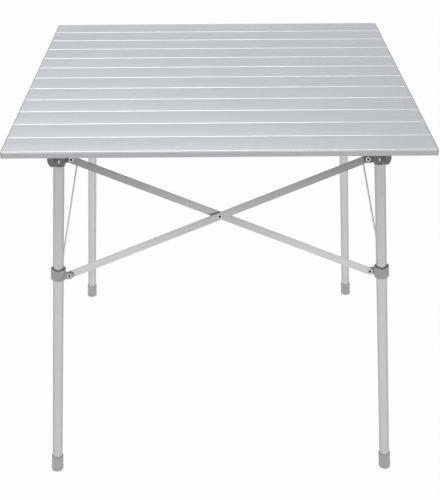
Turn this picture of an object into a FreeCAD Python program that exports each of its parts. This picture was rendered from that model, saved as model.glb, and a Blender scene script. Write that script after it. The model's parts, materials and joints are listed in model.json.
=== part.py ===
import FreeCAD, Part
import math
import os
import re
import Sketcher
from FreeCAD import Placement, Rotation, Vector

# Folding camp table: twelve aluminium slats on a frame of four splayed tube legs,
# with a scissor pair of flat braces on each side.
# Millimetres, +Z up, origin on the floor under the middle of the top. The front is -Y.

doc = FreeCAD.newDocument("folding_table")
sheet = doc.addObject("Spreadsheet::Sheet", "Sizes")

DRIVING = [
    ("top_width", 700.0),
    ("top_depth", 700.0),
    ("table_height", 686.0),
    ("slat_count", 12),
    ("slat_thick", 11.0),
    ("slat_gap", 0.4),
    ("slat_wall", 1.0),
    ("slat_shoulder", 2.6),
    ("slat_back_edge", 0.7),
    ("slat_front_extra", 0.6),
    ("cap_thick", 1.6),
    ("cord_radius", 2.0),
    ("cord_hole_radius", 2.6),
    ("cord_inset", 118.0),
    ("knot_radius", 3.8),
    ("cord_end_inset", 12.0),
    ("leg_radius", 9.5),
    ("leg_wall", 1.0),
    ("leg_half_top", 267.2),
    ("leg_half_floor", 322.0),
    ("leg_start", 4.0),
    ("leg_end", 668.0),
    ("foot_radius", 11.1),
    ("foot_height", 32.0),
    ("foot_bevel", 1.4),
    ("foot_below", 4.0),
    ("foot_bead_start", 3.6),
    ("foot_bead_end", 7.0),
    ("foot_bead_rise", 0.5),
    ("foot_bead_slope", 0.8),
    ("pin_inset", 20.5),
    ("hub_pin_station", 642.5),
    ("collar_pin_station", 427.3),
    ("lug_radius", 6.8),
    ("lug_inner", 3.8),
    ("lug_outer", 7.0),
    ("hub_socket_radius", 10.8),
    ("hub_socket_start", 631.5),
    ("hub_block_half", 13.2),
    ("hub_block_start", 636.5),
    ("hub_block_corner", 3.0),
    ("hub_boss_radius", 10.6),
    ("hub_rise_radius", 10.2),
    ("hub_rise_offset", 4.4),
    ("hub_boss_reach", 17.5),
    ("hub_boss_recess", 1.2),
    ("hub_bore_radius", 9.55),
    ("hub_rim", 2.6),
    ("hub_dish_tool", 10.0),
    ("collar_radius", 13.4),
    ("collar_bore_radius", 9.8),
    ("collar_height", 22.0),
    ("collar_bevel", 1.6),
    ("collar_lower_bevel", 2.56),
    ("collar_recess_radius", 11.6),
    ("collar_recess_depth", 2.0),
    ("brace_half_width", 6.7),
    ("brace_thick", 1.6),
    ("brace_offset", 2.5),
    ("rivet_shank_radius", 2.2),
    ("rivet_hole_radius", 2.25),
    ("rivet_head_radius", 4.4),
    ("rivet_head_top_radius", 3.2),
    ("rivet_head_thick", 1.1),
    ("spacer_radius", 5.4),
    ("spacer_thick", 2.4),
    ("cross_head_radius", 3.4),
    ("cross_head_thick", 0.45),
    ("head_taper", 1.0),
    ("stop_rise", 5.0),
    ("stop_head_radius", 2.8),
    ("stop_shank_radius", 1.6),
    ("tool_reach", 30.0),
    ("floor_slab", 20.0),
    ("slab_side", 120.0),
]
VALUES = {}


def store(name, value):
    """Puts one plain number in the sheet, under its own alias."""
    row = len(VALUES) + 1
    VALUES[name] = float(value)
    sheet.set(f"A{row}", name)
    sheet.set(f"B{row}", repr(value))
    sheet.setAlias(f"B{row}", name)


for alias, number in DRIVING:
    store(alias, number)

# The legs lean in towards the top by the same slope along X and along Y.
slope = (VALUES["leg_half_floor"] - VALUES["leg_half_top"]) / VALUES["table_height"]
leg_up = Vector(slope, slope, 1.0).normalize()
LEG_FRAME = Placement(
    Vector(-VALUES["leg_half_floor"], -VALUES["leg_half_floor"], 0.0),
    Rotation(Vector(0, 0, 1), leg_up),
)

# The front side's plane holds the X direction and both front leg axes.
side_normal = Vector(0.0, -1.0, slope).normalize()
side_up = Vector(0.0, slope, 1.0).normalize()


def pin_point(station):
    """The pin beside the front left leg, inset from its axis, that far up the leg."""
    inward = side_normal.cross(leg_up) * -1.0
    axis_point = LEG_FRAME.multVec(Vector(0, 0, station))
    return axis_point + inward.normalize() * VALUES["pin_inset"]


hub_pin = pin_point(VALUES["hub_pin_station"])
collar_pin = pin_point(VALUES["collar_pin_station"])
drop = (hub_pin - collar_pin).dot(side_up)
run = abs(hub_pin.x) + abs(collar_pin.x)
brace_angle = math.atan2(drop, run)
store("upper_arm", round(abs(hub_pin.x) / math.cos(brace_angle), 4))
store("lower_arm", round(abs(collar_pin.x) / math.cos(brace_angle), 4))
crossing = Vector(0.0, hub_pin.y, hub_pin.z)
crossing = crossing - side_up * (math.tan(brace_angle) * abs(hub_pin.x))
doc.recompute()

ALIAS_WORD = re.compile(r"\b(" + "|".join(VALUES) + r")\b")


def formula(text):
    """Writes sheet names in full, so that a size follows its cell."""
    return ALIAS_WORD.sub(r"Sizes.\1", str(text))


def worked_out(text):
    """The present value of a formula, for a sketch's first shape."""
    total = doc.getObject("Sizes").evalExpression(formula(text))
    return float(getattr(total, "Value", total))


def bind(item, **sizes):
    for name, text in sizes.items():
        item.setExpression(name, formula(text))


def place(item, x="0", y="0", z="0", rotation=None):
    """Puts a primitive where the sheet says, turned by a fixed rotation."""
    item.Placement = Placement(Vector(0, 0, 0), rotation or Rotation())
    for letter, text in (("x", x), ("y", y), ("z", z)):
        item.setExpression("Placement.Base." + letter, formula(text))
    return item


def box(name, x, y, z):
    """A block between pairs of formulas along each axis."""
    item = doc.addObject("Part::Box", name)
    spans = [f"({high}) - ({low})" for low, high in (x, y, z)]
    bind(item, Length=spans[0], Width=spans[1], Height=spans[2])
    return place(item, x[0], y[0], z[0])


ALONG_X = Rotation(Vector(0, 1, 0), 90)
ALONG_Y = Rotation(Vector(1, 0, 0), -90)
OUTWARD = Rotation(Vector(0, 0, 1), Vector(-1, -1, 0))


def cylinder(name, radius, length, x="0", y="0", z="0", rotation=None):
    item = doc.addObject("Part::Cylinder", name)
    bind(item, Radius=radius, Height=length)
    return place(item, x, y, z, rotation)


def cone(name, base, top, length, x="0", y="0", z="0", rotation=None):
    item = doc.addObject("Part::Cone", name)
    bind(item, Radius1=base, Radius2=top, Height=length)
    return place(item, x, y, z, rotation)


def ball(name, radius, x, y, z):
    item = doc.addObject("Part::Sphere", name)
    bind(item, Radius=radius)
    return place(item, x, y, z)


def fuse(name, shapes):
    item = doc.addObject("Part::MultiFuse", name)
    item.Shapes = shapes
    item.Refine = True
    return item


def cut(name, base, tool):
    item = doc.addObject("Part::Cut", name)
    item.Base = base
    item.Tool = tool
    return item


def group(name, shapes):
    """Separate solids kept together as one sub-part."""
    item = doc.addObject("Part::Compound", name)
    item.Links = shapes
    return item


def origin_plane(body, role):
    return next(item for item in body.Origin.OriginFeatures if item.Role == role)


def new_sketch(body, role):
    sketch = body.newObject("Sketcher::SketchObject", body.Name + "_sketch")
    sketch.AttachmentSupport = [(origin_plane(body, role), "")]
    sketch.MapMode = "FlatFace"
    return sketch


def pin_down(sketch, geometry, vertex, across, up):
    """Fixes one point of a sketch at two formulas from the sketch's origin."""
    for kind, text, axis in (("DistanceX", across, -2), ("DistanceY", up, -1)):
        value = worked_out(text)
        if abs(value) < 1e-9:
            sketch.addConstraint(Sketcher.Constraint("PointOnObject", geometry, vertex, axis))
            continue
        index = sketch.addConstraint(Sketcher.Constraint(kind, -1, 1, geometry, vertex, value))
        sketch.setExpression(f"Constraints[{index}]", formula(text))


def outline(sketch, corners):
    """Draws a closed outline with each corner held by two formulas."""
    points = [Vector(worked_out(across), worked_out(up), 0) for across, up in corners]
    count = len(points)
    first = sketch.GeometryCount
    for index in range(count):
        sketch.addGeometry(Part.LineSegment(points[index], points[(index + 1) % count]), False)
    for index in range(count):
        following = first + (index + 1) % count
        joint = Sketcher.Constraint("Coincident", first + index, 2, following, 1)
        sketch.addConstraint(joint)
    for index, (across, up) in enumerate(corners):
        pin_down(sketch, first + index, 1, across, up)


def circle(sketch, radius, across, up):
    centre = Vector(worked_out(across), worked_out(up), 0)
    index = sketch.addGeometry(Part.Circle(centre, Vector(0, 0, 1), worked_out(radius)), False)
    pin_down(sketch, index, 3, across, up)
    held = sketch.addConstraint(Sketcher.Constraint("Radius", index, worked_out(radius)))
    sketch.setExpression(f"Constraints[{held}]", formula(radius))


def pad(body, sketch, length):
    feature = body.newObject("PartDesign::Pad", body.Name + "_pad")
    feature.Profile = sketch
    feature.Midplane = True
    bind(feature, Length=length)
    return feature


def pocket_through(body, sketch):
    feature = body.newObject("PartDesign::Pocket", body.Name + "_pocket")
    feature.Profile = sketch
    feature.Type = "ThroughAll"
    feature.Midplane = True
    return feature


def turned(body, sketch):
    """A full turn of the sketch about the body's Z axis."""
    feature = body.newObject("PartDesign::Revolution", body.Name + "_turned")
    feature.Profile = sketch
    feature.ReferenceAxis = (sketch, ["V_Axis"])
    feature.Angle = 360.0
    return feature


SUBPARTS = []


def finish(item, name, placement=None):
    """Names a sub-part, puts it in its place and lists it for writing."""
    item.Label = name
    if placement is not None:
        item.Placement = placement
    SUBPARTS.append(item)


# --- the top: slats, their end caps and the elastic cords that hold them together ---

SLAT_PITCH = "(top_depth / slat_count)"
SLAT_DEPTH = "(top_depth / slat_count - slat_gap)"
CELL_COUNT = 3
CORD_HEIGHT = "(-slat_thick / 2)"


def slat(number):
    """One hollow slat with three cells, a round front shoulder and cord holes."""
    name = f"slat_{number:02d}"
    body = doc.addObject("PartDesign::Body", name)
    section = new_sketch(body, "YZ_Plane")
    half = SLAT_DEPTH + " / 2"
    outline(section, [("-" + half, "-slat_thick"), (half, "-slat_thick"), (half, "0"), ("-" + half, "0")])
    cell = f"(({SLAT_DEPTH} - {CELL_COUNT + 1} * slat_wall) / {CELL_COUNT})"
    for index in range(CELL_COUNT):
        low = f"(-{half} + slat_wall + {index} * ({cell} + slat_wall))"
        high = f"({low} + {cell})"
        floor = "(slat_wall - slat_thick)"
        roof = "-slat_wall"
        if index == 0:
            # The wall stays as thick under the round shoulder.
            roof = "-(slat_wall + slat_front_extra)"
        outline(section, [(low, floor), (high, floor), (high, roof), (low, roof)])
    pad(body, section, "top_width - 2 * cap_thick")
    doc.recompute()
    for label, side, radius in (("front", -1, "slat_shoulder"), ("back", 1, "slat_back_edge")):
        solid = body.Tip
        rounding = body.newObject("PartDesign::Fillet", f"{name}_{label}_edge")
        rounding.Base = (solid, [top_edge(solid, side)])
        bind(rounding, Radius=radius)
        doc.recompute()
    holes = new_sketch(body, "XZ_Plane")
    for side in ("-", ""):
        circle(holes, "cord_hole_radius", f"{side}(top_width / 2 - cord_inset)", CORD_HEIGHT)
    pocket_through(body, holes)
    body.Placement = Placement()
    offset = f"{SLAT_PITCH} * ({number} - 0.5) - top_depth / 2"
    finish(body, name)
    place(body, "0", offset, "table_height")


def top_edge(feature, side):
    """The long edge of a slat's top face, at its front or its back."""
    best = None
    for index, edge in enumerate(feature.Shape.Edges, 1):
        middle = edge.CenterOfMass
        reach = edge.BoundBox.XLength
        if reach > 100 and abs(middle.z) < 1e-6:
            if best is None or middle.y * side > best[0]:
                best = (middle.y * side, index)
    return f"Edge{best[1]}"


def end_caps(name, side):
    """A thin plastic cap on the end of each slat, along one side of the top."""
    caps = []
    outer = f"{side} * top_width / 2"
    inner = f"{side} * (top_width / 2 - cap_thick)"
    span = (outer, inner) if side < 0 else (inner, outer)
    for number in range(int(VALUES["slat_count"])):
        low = f"{SLAT_PITCH} * {number} - top_depth / 2 + slat_gap / 2"
        high = f"{low} + {SLAT_DEPTH}"
        levels = ("table_height - slat_thick", "table_height")
        plate = box(f"{name}_{number + 1}", span, (low, high), levels)
        doc.recompute()
        caps.append(rounded(plate, [("slat_shoulder", -1), ("slat_back_edge", 1)]))
    finish(group(name, caps), name)


def rounded(plate, radii):
    """Rounds the top front and top back edges of an end cap like the slat's."""
    item = doc.addObject("Part::Fillet", plate.Name + "_rounded")
    item.Base = plate
    edges = []
    bounds = plate.Shape.BoundBox
    for alias, side in radii:
        wanted = bounds.YMin if side < 0 else bounds.YMax
        for index, edge in enumerate(plate.Shape.Edges, 1):
            middle = edge.CenterOfMass
            level = abs(middle.z - bounds.ZMax) < 1e-6 and abs(middle.y - wanted) < 1e-6
            if level:
                edges.append((index, VALUES[alias], VALUES[alias]))
    item.Edges = edges
    return item


def elastic_cords():
    """Two elastic cords along Y inside the slats, with a knot at each end."""
    cords = []
    middle = "table_height - slat_thick / 2"
    reach = "(top_depth / 2 - cord_end_inset)"
    for label, side in (("left", "-"), ("right", "")):
        across = f"{side}(top_width / 2 - cord_inset)"
        strand = cylinder(f"cord_{label}", "cord_radius", f"2 * {reach}", across, f"-{reach}", middle, ALONG_Y)
        knots = [ball(f"knot_{label}_{end}", "knot_radius", across, f"{sign}{reach}", middle)
                 for end, sign in (("front", "-"), ("back", ""))]
        cords.append(fuse(f"cord_{label}_knotted", [strand] + knots))
    finish(group("elastic_cords", cords), "elastic_cords")


for slat_number in range(1, int(VALUES["slat_count"]) + 1):
    slat(slat_number)
end_caps("end_caps_left", -1)
end_caps("end_caps_right", 1)
elastic_cords()


# --- the legs, with their hubs, collars and feet, drawn in the leg's own frame ---
# That frame has its origin where the leg's axis meets the floor, Z up the leg,
# +X towards the next corner and +Y towards the last one.

CORNERS = ["front_left", "front_right", "rear_right", "rear_left"]
SIDES = ["front", "right", "rear", "left"]
TO_LEG_FRAME = LEG_FRAME.inverse()


def quarter_turn(index):
    return Placement(Vector(0, 0, 0), Rotation(Vector(0, 0, 1), 90 * index))


def world_slab(name, low, high):
    """A wide level slab between two heights of the table, seen in the leg's frame."""
    item = doc.addObject("Part::Box", name)
    bind(item, Length="slab_side", Width="slab_side", Height=f"({high}) - ({low})")
    start = -VALUES["leg_half_floor"] - VALUES["slab_side"] / 2
    corner = Vector(start, start, worked_out(low))
    shift = Vector(0, 0, 0)
    if worked_out(low) > 0:
        shift = Vector(slope, slope, 0) * worked_out(low)
    item.Placement = TO_LEG_FRAME * Placement(corner + shift, Rotation())
    return item


STOP_STATION = "(collar_pin_station + collar_height / 2 + stop_rise)"


def cross_rod(name, corner, radius, reach, station):
    """A rod through the leg's axis that runs from front to back of the table."""
    if CORNERS.index(corner) % 2 == 0:
        return cylinder(name, radius, f"2 * ({reach})", "0", f"-({reach})", station, ALONG_Y)
    return cylinder(name, radius, f"2 * ({reach})", f"-({reach})", "0", station, ALONG_X)


def cross_heads(name, corner, sizes, reach, station):
    """A tapered head on both ends of a cross rod."""
    if CORNERS.index(corner) % 2 == 0:
        low = cone(name + "_low", *sizes, "0", f"-({reach})", station, Rotation(Vector(1, 0, 0), 90))
        return [low, cone(name + "_high", *sizes, "0", reach, station, ALONG_Y)]
    low = cone(name + "_low", *sizes, f"-({reach})", "0", station, Rotation(Vector(0, 1, 0), -90))
    return [low, cone(name + "_high", *sizes, reach, "0", station, ALONG_X)]


def leg_tube(corner, placement):
    """A plain tube with cross holes for the hub's pin and the collar's stop."""
    name = "leg_" + corner
    length = "leg_end - leg_start"
    outer = cylinder(name + "_outer", "leg_radius", length, z="leg_start")
    inner = cylinder(name + "_inner", "leg_radius - leg_wall", length, z="leg_start")
    pin_hole = cross_rod(name + "_pin_hole", corner, "rivet_shank_radius", "tool_reach", "hub_pin_station")
    stop_hole = cross_rod(name + "_stop_hole", corner, "stop_shank_radius", "tool_reach", STOP_STATION)
    tools = fuse(name + "_tools", [inner, pin_hole, stop_hole])
    finish(cut(name, outer, tools), name, placement)


def foot(corner, placement):
    """A plastic cup over the end of the leg, trimmed level with the floor."""
    name = "foot_" + corner
    body = doc.addObject("PartDesign::Body", name + "_cup")
    section = new_sketch(body, "XZ_Plane")
    outline(section, [
        ("0", "-foot_below"),
        ("foot_radius", "-foot_below"),
        ("foot_radius", "foot_bead_start"),
        ("foot_radius + foot_bead_rise", "foot_bead_start + foot_bead_slope"),
        ("foot_radius + foot_bead_rise", "foot_bead_end - foot_bead_slope"),
        ("foot_radius", "foot_bead_end"),
        ("foot_radius", "foot_height - foot_bevel"),
        ("foot_radius - foot_bevel / 2", "foot_height"),
        ("hub_bore_radius", "foot_height"),
        ("hub_bore_radius", "leg_start"),
        ("0", "leg_start"),
    ])
    turned(body, section)
    trimmed = cut(name, body, world_slab(name + "_floor", "-floor_slab", "0"))
    finish(trimmed, name, placement)


def lug(name, along, offset_low, offset_high, station):
    """A flat ear with a round end, reaching from the leg's axis to the pin."""
    low = f"{station} - lug_radius"
    high = f"{station} + lug_radius"
    depth = f"({offset_high}) - ({offset_low})"
    if along == "x":
        plate = box(name + "_plate", ("0", "pin_inset"), (offset_low, offset_high), (low, high))
        spot = ("pin_inset", offset_low, station, ALONG_Y)
    else:
        plate = box(name + "_plate", (offset_low, offset_high), ("0", "pin_inset"), (low, high))
        spot = (offset_low, "pin_inset", station, ALONG_X)
    end = cylinder(name + "_end", "lug_radius", depth, *spot)
    hole = cylinder(name + "_hole", "rivet_shank_radius", depth, *spot)
    return [plate, end], hole


def hub(corner, placement):
    """The plastic head of a leg: tube socket, corner boss, level rim and two ears."""
    name = "hub_" + corner
    top = "leg_end + tool_reach"
    start = "hub_socket_start"
    socket = cylinder(name + "_socket", "hub_socket_radius", f"{top} - {start}", z=start)
    span = ("-hub_block_half", "hub_block_half")
    block = box(name + "_block", span, span, ("hub_block_start", top))
    doc.recompute()
    block_round = doc.addObject("Part::Fillet", name + "_block_round")
    block_round.Base = block
    radius = VALUES["hub_block_corner"]
    upright = [index for index, edge in enumerate(block.Shape.Edges, 1)
               if edge.BoundBox.ZLength > VALUES["hub_block_half"]]
    lowest = [index for index, edge in enumerate(block.Shape.Edges, 1)
              if abs(edge.BoundBox.ZMax - VALUES["hub_block_start"]) < 1e-6]
    block_round.Edges = [(index, radius, radius) for index in upright + lowest]
    pin = "hub_pin_station"
    boss = cylinder(name + "_boss", "hub_boss_radius", "hub_boss_reach", z=pin, rotation=OUTWARD)
    back = "-hub_rise_offset"
    rise = cylinder(name + "_rise", "hub_rise_radius", f"{top} - {pin}", back, back, pin)
    next_ear, next_hole = lug(name + "_next", "x", "lug_inner", "lug_outer", "hub_pin_station")
    last_ear, last_hole = lug(name + "_last", "y", "-lug_outer", "-lug_inner", "hub_pin_station")
    solid = fuse(name + "_solid", [socket, block_round, boss, rise] + next_ear + last_ear)
    depth = "leg_end - hub_socket_start + hub_rim"
    bore = cylinder(name + "_bore", "hub_bore_radius", depth, z="hub_socket_start - hub_rim")
    dish = cylinder(name + "_dish", "hub_boss_radius - hub_rim", "hub_dish_tool", rotation=OUTWARD)
    reach = "-(hub_boss_reach - hub_boss_recess) * sqrt(0.5)"
    place(dish, reach, reach, pin, OUTWARD)
    across = cross_rod(name + "_cross", corner, "rivet_shank_radius", "tool_reach", pin)
    # Flats for the cross pin's heads, level with the block's faces.
    seat_size = ("cross_head_radius", "cross_head_radius", "hub_rim")
    seats = cross_heads(name + "_seat", corner, seat_size, "hub_block_half", pin)
    above = world_slab(name + "_above", "table_height - slat_thick", "table_height + tool_reach")
    tools = fuse(name + "_tools", [bore, dish, across, next_hole, last_hole, above] + seats)
    finish(cut(name, solid, tools), name, placement)


def collar(corner, placement):
    """The sliding ring on a leg, with two ears for the lower ends of the braces."""
    name = "collar_" + corner
    body = doc.addObject("PartDesign::Body", name + "_ring")
    section = new_sketch(body, "XZ_Plane")
    low = "(collar_pin_station - collar_height / 2)"
    high = "(collar_pin_station + collar_height / 2)"
    outline(section, [
        ("collar_bore_radius", low),
        ("collar_radius - collar_bevel", low),
        ("collar_radius", f"{low} + collar_lower_bevel"),
        ("collar_radius", f"{high} - collar_bevel / 2"),
        ("collar_radius - collar_bevel / 2", high),
        ("collar_recess_radius", high),
        ("collar_recess_radius", f"{high} - collar_recess_depth"),
        ("collar_bore_radius", f"{high} - collar_recess_depth"),
    ])
    turned(body, section)
    next_ear, next_hole = lug(name + "_next", "x", "-lug_outer", "-lug_inner", "collar_pin_station")
    last_ear, last_hole = lug(name + "_last", "y", "lug_inner", "lug_outer", "collar_pin_station")
    solid = fuse(name + "_solid", [body] + next_ear + last_ear)
    bore = cylinder(name + "_bore", "collar_bore_radius", "collar_height + 2", z=low + " - 1")
    tools = fuse(name + "_tools", [bore, next_hole, last_hole])
    finish(cut(name, solid, tools), name, placement)


def lug_rivet(name, along, face, away, station):
    """The half of a rivet that sits in an ear: a shank and a tapered head behind it."""
    shank_low = face if away > 0 else f"{face} - (lug_outer - lug_inner)"
    length = "lug_outer - lug_inner"
    head_face = f"{face} + (lug_outer - lug_inner)" if away > 0 else shank_low
    if along == "x":
        forward = ALONG_Y
        backward = Rotation(Vector(1, 0, 0), 90)
        base = ("pin_inset", shank_low, station)
        spot = ("pin_inset", head_face, station)
    else:
        forward = ALONG_X
        backward = Rotation(Vector(0, 1, 0), -90)
        base = (shank_low, "pin_inset", station)
        spot = (head_face, "pin_inset", station)
    shank = cylinder(name + "_shank", "rivet_shank_radius", length, *base, forward)
    turn = forward if away > 0 else backward
    head = cone(name + "_head", "rivet_head_radius", "rivet_head_top_radius", "rivet_head_thick", *spot, turn)
    return fuse(name, [shank, head])


def leg_rivets(corner, placement):
    """The rivets that ride with a leg: two in the hub's ears, its cross pin and the stop."""
    name = "hub_rivets_" + corner
    next_half = lug_rivet(name + "_next", "x", "lug_inner", 1, "hub_pin_station")
    last_half = lug_rivet(name + "_last", "y", "-lug_inner", -1, "hub_pin_station")
    spot = ("hub_block_half", "hub_pin_station")
    rod = cross_rod(name + "_cross", corner, "rivet_shank_radius", *spot)
    sizes = ("cross_head_radius", "cross_head_radius - head_taper", "cross_head_thick")
    pin = fuse(name + "_pin", [rod] + cross_heads(name + "_cross", corner, sizes, *spot))
    spot = ("leg_radius", STOP_STATION)
    stop_rod = cross_rod(name + "_stop_rod", corner, "stop_shank_radius", *spot)
    sizes = ("stop_head_radius", "stop_head_radius - head_taper", "rivet_head_thick")
    stop = fuse(name + "_stop", [stop_rod] + cross_heads(name + "_stop", corner, sizes, *spot))
    finish(group(name, [next_half, last_half, pin, stop]), name, placement)


def collar_rivets(corner, placement):
    name = "collar_rivets_" + corner
    next_half = lug_rivet(name + "_next", "x", "-lug_inner", -1, "collar_pin_station")
    last_half = lug_rivet(name + "_last", "y", "lug_inner", 1, "collar_pin_station")
    finish(group(name, [next_half, last_half]), name, placement)


# --- the braces, drawn flat with X along the strip from its crossing rivet ---

def side_frame(lean):
    """A brace's frame: X down the strip, Z outwards, its origin at the crossing."""
    along = Vector(1, 0, 0) * (lean * math.cos(brace_angle)) - side_up * math.sin(brace_angle)
    across = side_normal.cross(along)
    matrix = FreeCAD.Matrix(
        along.x, across.x, side_normal.x, crossing.x,
        along.y, across.y, side_normal.y, crossing.y,
        along.z, across.z, side_normal.z, crossing.z,
        0, 0, 0, 1,
    )
    return Placement(matrix)


def brace(name, layer, placement):
    """A flat strip with round ends and three rivet holes, in its own layer."""
    body = doc.addObject("PartDesign::Body", name)
    section = new_sketch(body, "XY_Plane")
    half = VALUES["brace_half_width"]
    left = Vector(-VALUES["upper_arm"], 0, 0)
    right = Vector(VALUES["lower_arm"], 0, 0)
    edge = Vector(0, half, 0)
    up = Vector(0, 0, 1)
    quarter = math.pi / 2
    section.addGeometry(Part.ArcOfCircle(Part.Circle(left, up, half), quarter, 3 * quarter), False)
    section.addGeometry(Part.LineSegment(left - edge, right - edge), False)
    section.addGeometry(Part.ArcOfCircle(Part.Circle(right, up, half), -quarter, quarter), False)
    section.addGeometry(Part.LineSegment(right + edge, left + edge), False)
    for index in range(4):
        section.addConstraint(Sketcher.Constraint("Tangent", index, 2, (index + 1) % 4, 1))
    pin_down(section, 0, 3, "-upper_arm", "0")
    pin_down(section, 2, 3, "lower_arm", "0")
    held = section.addConstraint(Sketcher.Constraint("Radius", 0, half))
    section.setExpression(f"Constraints[{held}]", formula("brace_half_width"))
    for spot in ("-upper_arm", "0", "lower_arm"):
        circle(section, "rivet_hole_radius", spot, "0")
    pad(body, section, "brace_thick")
    shift = Placement(Vector(0, 0, layer * VALUES["brace_offset"]), Rotation())
    finish(body, name, placement * shift)


def brace_rivets(name, layer, placement):
    """The half rivets that ride with a brace: two at its ends and one at the crossing."""
    low = f"{layer} * brace_offset - brace_thick / 2"
    high = f"{layer} * brace_offset + brace_thick / 2"
    sizes = ("rivet_head_radius", "rivet_head_top_radius", "rivet_head_thick")
    turned_over = Rotation(Vector(1, 0, 0), 180)
    halves = []
    for label, spot in (("hub", "-upper_arm"), ("collar", "lower_arm")):
        shank = cylinder(f"{name}_{label}_shank", "rivet_shank_radius", "brace_thick", spot, "0", low)
        # The head is on the face away from the ear: the inner strip's front, the outer one's back.
        height, turn = (high, None) if layer < 0 else (low, turned_over)
        head = cone(f"{name}_{label}_head", *sizes, spot, "0", height, turn)
        halves.append(fuse(f"{name}_{label}", [shank, head]))
    shank = cylinder(name + "_cross_shank", "rivet_shank_radius", "brace_thick", "0", "0", low)
    height, turn = (low, turned_over) if layer < 0 else (high, None)
    head = cone(name + "_cross_head", *sizes, "0", "0", height, turn)
    pieces = [shank, head]
    if layer < 0:
        pieces.append(cylinder(name + "_spacer", "spacer_radius", "spacer_thick", "0", "0", high))
    halves.append(fuse(name + "_cross", pieces))
    finish(group(name, halves), name, placement)


for turn_index, corner_name in enumerate(CORNERS):
    corner_placement = quarter_turn(turn_index) * LEG_FRAME
    leg_tube(corner_name, corner_placement)
    foot(corner_name, corner_placement)
    hub(corner_name, corner_placement)
    collar(corner_name, corner_placement)
    leg_rivets(corner_name, corner_placement)
    collar_rivets(corner_name, corner_placement)

# On each side the inner strip runs down from the left hub, seen from outside,
# and the outer strip runs down from the right hub.
for turn_index, side_name in enumerate(SIDES):
    for strip, lean, layer in (("inner", 1, -1), ("outer", -1, 1)):
        strip_placement = quarter_turn(turn_index) * side_frame(lean)
        brace(f"brace_{side_name}_{strip}", layer, strip_placement)
        brace_rivets(f"brace_rivets_{side_name}_{strip}", layer, strip_placement)

doc.recompute()
for item in doc.Objects:
    if "Invalid" in item.State or "Error" in item.State:
        raise RuntimeError(f"{item.Name} did not recompute: {item.State}")
for item in SUBPARTS:
    if item.Shape.isNull() or not item.Shape.isValid():
        raise RuntimeError(f"{item.Label} has no valid shape")

os.makedirs("parts", exist_ok=True)
for item in SUBPARTS:
    item.Shape.exportStep(os.path.join("parts", item.Label + ".step"))
print(f"wrote {len(SUBPARTS)} sub-parts")
for label, point in (("hub pin", hub_pin), ("collar pin", collar_pin), ("crossing", crossing)):
    print(label, [round(value, 3) for value in point])
print("brace arms", VALUES["upper_arm"], VALUES["lower_arm"], "angle", round(math.degrees(brace_angle), 4))
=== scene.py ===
"""Folding slat-top camp table: visible pieces, finishes, studio and camera.

Metres, in the table's own frame: +Z up, the front edge at -Y, the origin on the floor
under the middle of the top. Every piece is a surface worked out with numpy in a frame
of its own (a leg's, a strip's) and then carried to its place.
"""
import json
import math

import bmesh
import bpy
import numpy as np
from mathutils import Matrix, Vector


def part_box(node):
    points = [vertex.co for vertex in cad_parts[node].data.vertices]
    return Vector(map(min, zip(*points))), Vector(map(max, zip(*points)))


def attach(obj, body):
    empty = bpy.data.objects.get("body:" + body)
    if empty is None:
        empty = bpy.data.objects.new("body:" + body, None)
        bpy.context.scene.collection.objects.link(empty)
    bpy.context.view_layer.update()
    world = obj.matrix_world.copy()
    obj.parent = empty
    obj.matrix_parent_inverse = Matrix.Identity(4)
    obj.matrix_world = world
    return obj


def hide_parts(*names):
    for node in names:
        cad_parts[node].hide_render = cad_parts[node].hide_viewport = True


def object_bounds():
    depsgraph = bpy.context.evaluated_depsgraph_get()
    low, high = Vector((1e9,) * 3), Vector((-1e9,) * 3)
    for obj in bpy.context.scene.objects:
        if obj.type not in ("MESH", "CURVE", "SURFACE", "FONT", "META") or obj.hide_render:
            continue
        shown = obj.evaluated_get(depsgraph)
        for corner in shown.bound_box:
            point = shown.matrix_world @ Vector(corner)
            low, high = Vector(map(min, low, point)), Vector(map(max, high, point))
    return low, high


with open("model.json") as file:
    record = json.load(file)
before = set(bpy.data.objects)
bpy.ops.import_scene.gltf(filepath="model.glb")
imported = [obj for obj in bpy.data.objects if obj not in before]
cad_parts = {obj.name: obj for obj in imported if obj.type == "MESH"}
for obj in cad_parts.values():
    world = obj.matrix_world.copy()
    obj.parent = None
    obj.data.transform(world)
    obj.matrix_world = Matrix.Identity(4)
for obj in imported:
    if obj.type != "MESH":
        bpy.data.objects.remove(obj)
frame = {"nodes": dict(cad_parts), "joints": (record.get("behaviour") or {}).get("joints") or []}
CAD_BOX = [list(corner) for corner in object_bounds()]

MM = 0.001
CORNERS = ["front_left", "front_right", "rear_right", "rear_left"]
SIDES = ["front", "right", "rear", "left"]
JOINTS = {joint["name"]: joint for joint in frame["joints"]}
UP = np.array([0.0, 0.0, 1.0])

# Sizes of the pieces, in metres.
TOP_SIDE = 0.7
SLAT_COUNT = 12
SLAT_SHOULDER = 2.6 * MM
SLAT_BACK_EDGE = 0.7 * MM
SLAT_SMALL_EDGE = 0.5 * MM
GROOVE_SHARES = (-0.3, 0.0, 0.3)
GROOVE_HALF = 3.0 * MM
GROOVE_DEEP = 0.8 * MM
GROOVE_EDGE = 0.3 * MM
CAP_BEVEL = 0.35 * MM
LEG_HALF_FLOOR = 322.0 * MM
LEG_RADIUS = 9.5 * MM
LEG_BORE = 8.5 * MM
LEG_SPAN = (4.0 * MM, 668.0 * MM)
FOOT_RADIUS = 11.1 * MM
FOOT_HEIGHT = 32.0 * MM
FOOT_BELOW = 4.0 * MM
FOOT_CORE = 0.4 * MM
FOOT_BEAD = 0.5 * MM
PIN_INSET = 20.5 * MM
HUB_PIN = 642.5 * MM
HUB_START = 631.5 * MM
HUB_BLOCK_START = 636.0 * MM
HUB_HALF = 13.2 * MM
HUB_ROOF = LEG_SPAN[1] + 4.0 * MM
UNDER_SLATS = 0.2 * MM
COLLAR_PIN = 427.3 * MM
COLLAR_RADIUS = 13.4 * MM
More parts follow.
